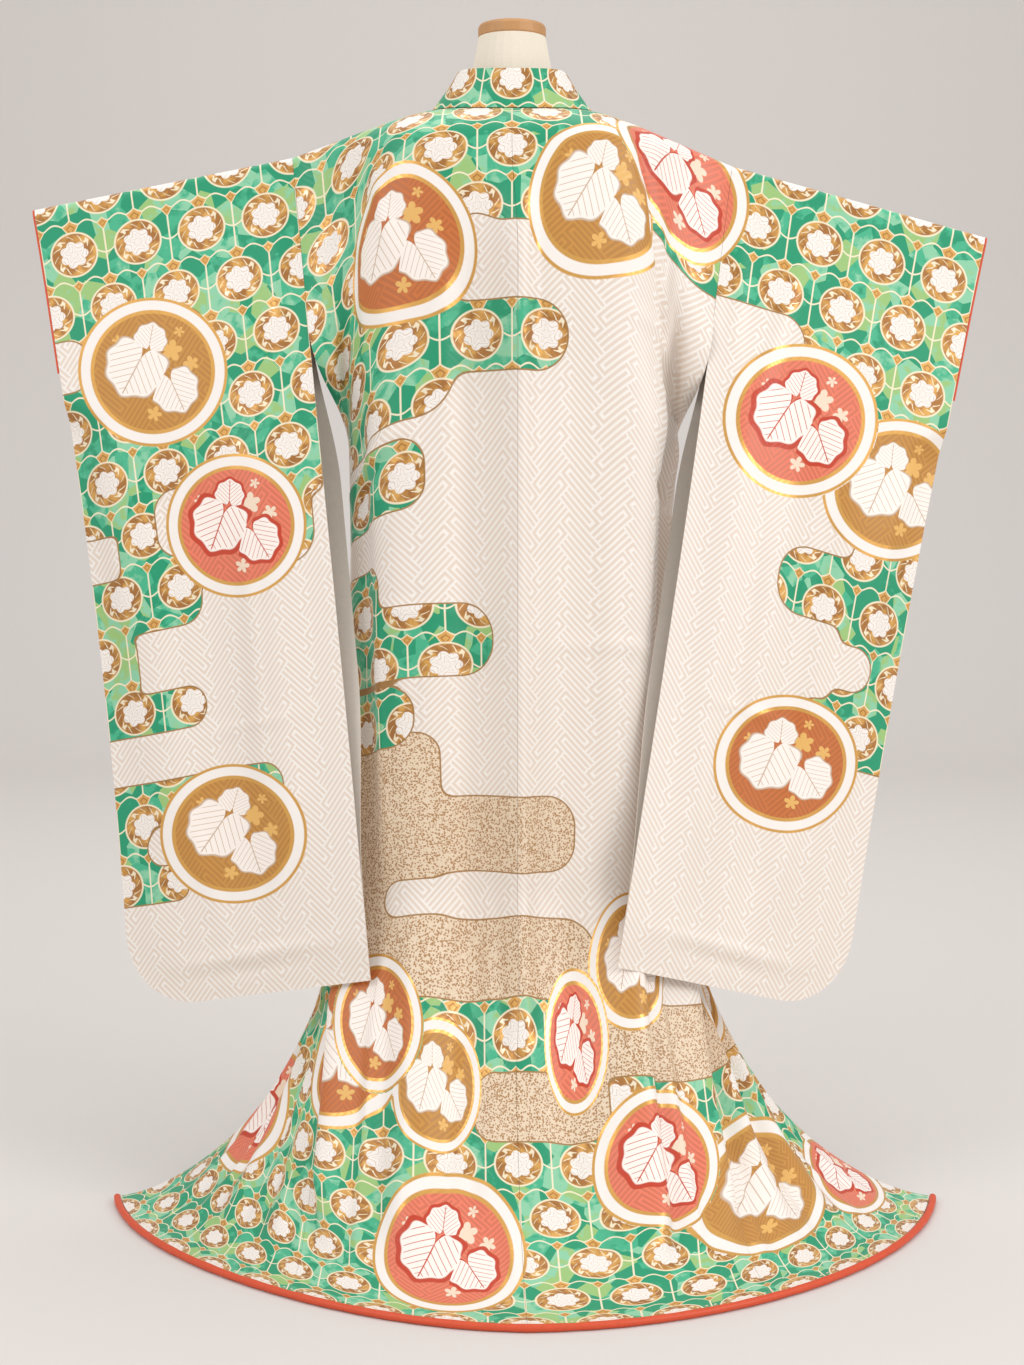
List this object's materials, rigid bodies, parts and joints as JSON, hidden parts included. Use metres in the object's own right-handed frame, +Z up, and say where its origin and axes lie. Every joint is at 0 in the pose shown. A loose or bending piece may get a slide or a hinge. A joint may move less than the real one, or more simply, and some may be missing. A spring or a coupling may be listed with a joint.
{
  "type": "furisode on a limbless dress form with stand",
  "caption": "Long-sleeved formal kimono with a fanned, padded train, spread from behind on a limbless dress form with a pole stand.",
  "frame": {"origin": "centre of the stand base's underside, on the floor", "axes": "+Z up; the garment's back and train face -Y; +X is the wearer's right"},
  "size_m": [1.3067, 0.71, 1.611],
  "materials": {
    "figured_silk": "figured silk, ivory with green clouds and gold outlines",
    "red_silk": "plain orange-red silk",
    "form_cloth": "matt cream cotton",
    "pale_wood": "satin",
    "stand_metal": "satin black"
  },
  "bodies": {
    "root": {"body_left": "figured_silk", "body_right": "figured_silk", "overlap_left": "figured_silk", "overlap_right": "figured_silk", "sleeve_left": "figured_silk", "sleeve_right": "figured_silk", "collar": "figured_silk", "hem_roll": "red_silk", "cuff_piping_left": "red_silk", "cuff_piping_right": "red_silk", "form_torso": "form_cloth", "form_cap": "pale_wood", "spreader_rod_left": "pale_wood", "spreader_rod_right": "pale_wood", "stand_pole": "stand_metal", "stand_base": "stand_metal"}
  },
  "joints": []
}
